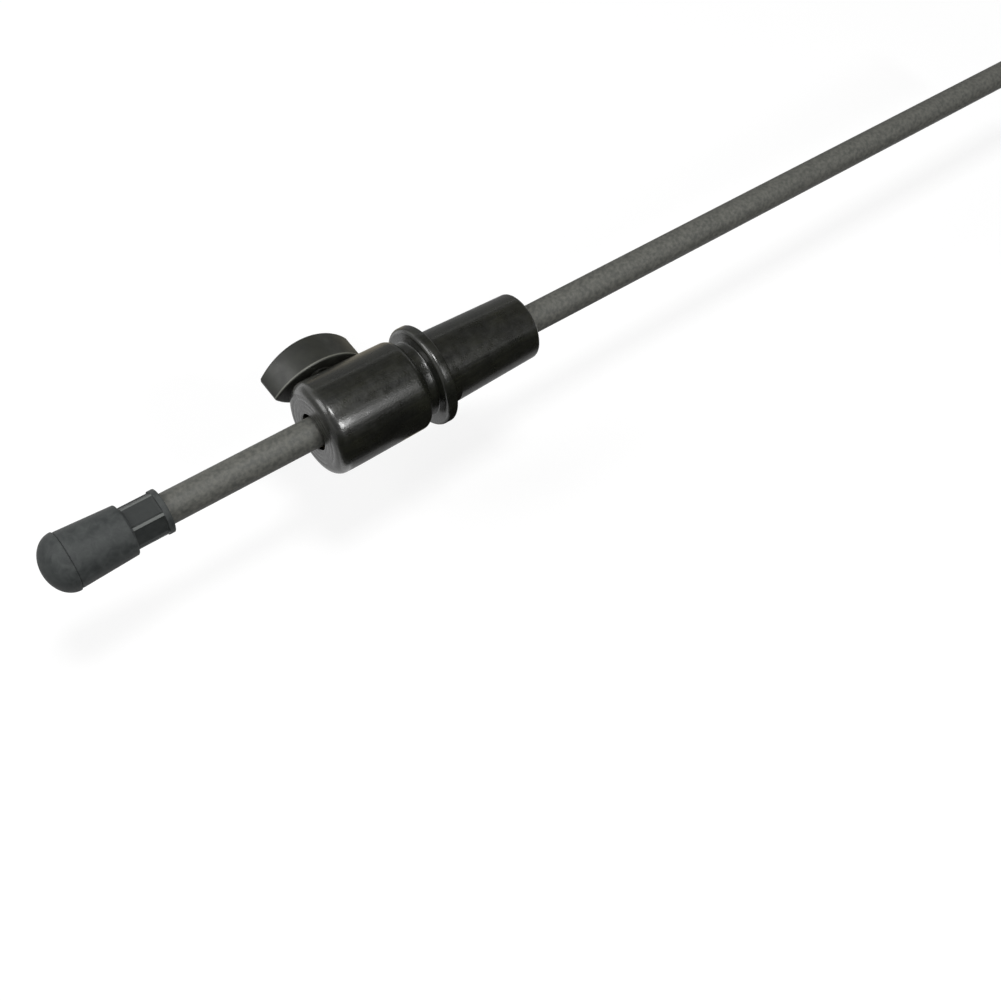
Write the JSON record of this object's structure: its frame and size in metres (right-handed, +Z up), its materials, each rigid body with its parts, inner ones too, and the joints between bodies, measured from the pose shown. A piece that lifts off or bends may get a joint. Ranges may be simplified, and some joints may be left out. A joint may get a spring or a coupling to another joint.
{
  "type": "cello endpin",
  "caption": "Cello endpin: a rod with a rubber tip that slides through a turned stopper and is clamped by a side screw with an oval knob.",
  "frame": {"origin": "centre of the collar's seat face, on the rod's axis, where the stopper rests on the instrument's rib", "axes": "+X along the rod into the instrument, -X toward the rubber tip, +Y out along the clamp screw, +Z up toward the instrument's front"},
  "size_m": [0.4774, 0.0446, 0.034],
  "materials": {
    "ebonised_wood": "gloss",
    "brass": "satin",
    "plain_steel": "satin",
    "knob_plastic": "matte",
    "black_steel": "satin",
    "hardened_steel": "satin",
    "plug_plastic": "matte",
    "tip_rubber": "matte"
  },
  "bodies": {
    "stopper": {"stopper": "ebonised_wood", "guide_tube": "brass", "thread_bush": "brass"},
    "pad": {"clamp_pad": "brass"},
    "screw": {"screw_stud": "plain_steel", "screw_knob": "knob_plastic"},
    "ring": {"stop_ring": "plain_steel"},
    "rod": {"rod_tube": "black_steel", "rod_spike": "hardened_steel", "rod_end_plug": "plug_plastic"},
    "tip": {"rubber_tip": "tip_rubber", "tip_washer": "hardened_steel"}
  },
  "joints": [
    {"name": "pad_slide", "type": "slide", "parent": "stopper", "child": "pad", "axis": [0, 1, 0], "range_m": [0, 0.005]},
    {"name": "screw_turn", "type": "hinge", "parent": "pad", "child": "screw", "pos_m": [-0.0302, 0, 0], "axis": [0, 1, 0], "range_deg": [0, 1800]},
    {"name": "rod_slide", "type": "slide", "parent": "stopper", "child": "ring", "axis": [-1, 0, 0], "range_m": [-0.0513, 0.2969]},
    {"name": "rod_spin", "type": "hinge", "parent": "ring", "child": "rod", "pos_m": [0, 0, 0], "axis": [1, 0, 0], "continuous": true},
    {"name": "tip_pull", "type": "slide", "parent": "rod", "child": "tip", "axis": [-1, 0, 0], "range_m": [0, 0.04]}
  ],
  "couplings": [
    {"joint": "pad_slide", "follows": "screw_turn", "m_per_rad": 0.00015915}
  ]
}
